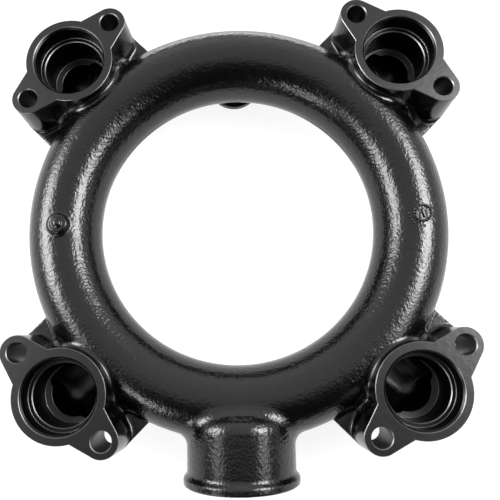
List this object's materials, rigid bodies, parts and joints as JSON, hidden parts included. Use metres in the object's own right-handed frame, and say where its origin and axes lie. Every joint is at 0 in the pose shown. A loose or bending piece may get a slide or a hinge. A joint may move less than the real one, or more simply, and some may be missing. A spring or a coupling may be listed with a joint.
{
  "type": "discharge manifold",
  "caption": "Hollow cast ring that joins flanged ports on one face to a beaded hose spout at its edge.",
  "frame": {"origin": "centre of the plane that holds the flange faces of the ports, on the axis of the ring", "axes": "+Z out of the flange faces along the axis of the ring, -Y along the hose spout, +X to the right of a viewer who looks down on the flange faces with the spout towards them"},
  "size_m": [0.211, 0.2246, 0.053],
  "materials": {
    "black_paint": "gloss"
  },
  "bodies": {
    "root": {"manifold_casting": "black_paint"}
  },
  "joints": []
}
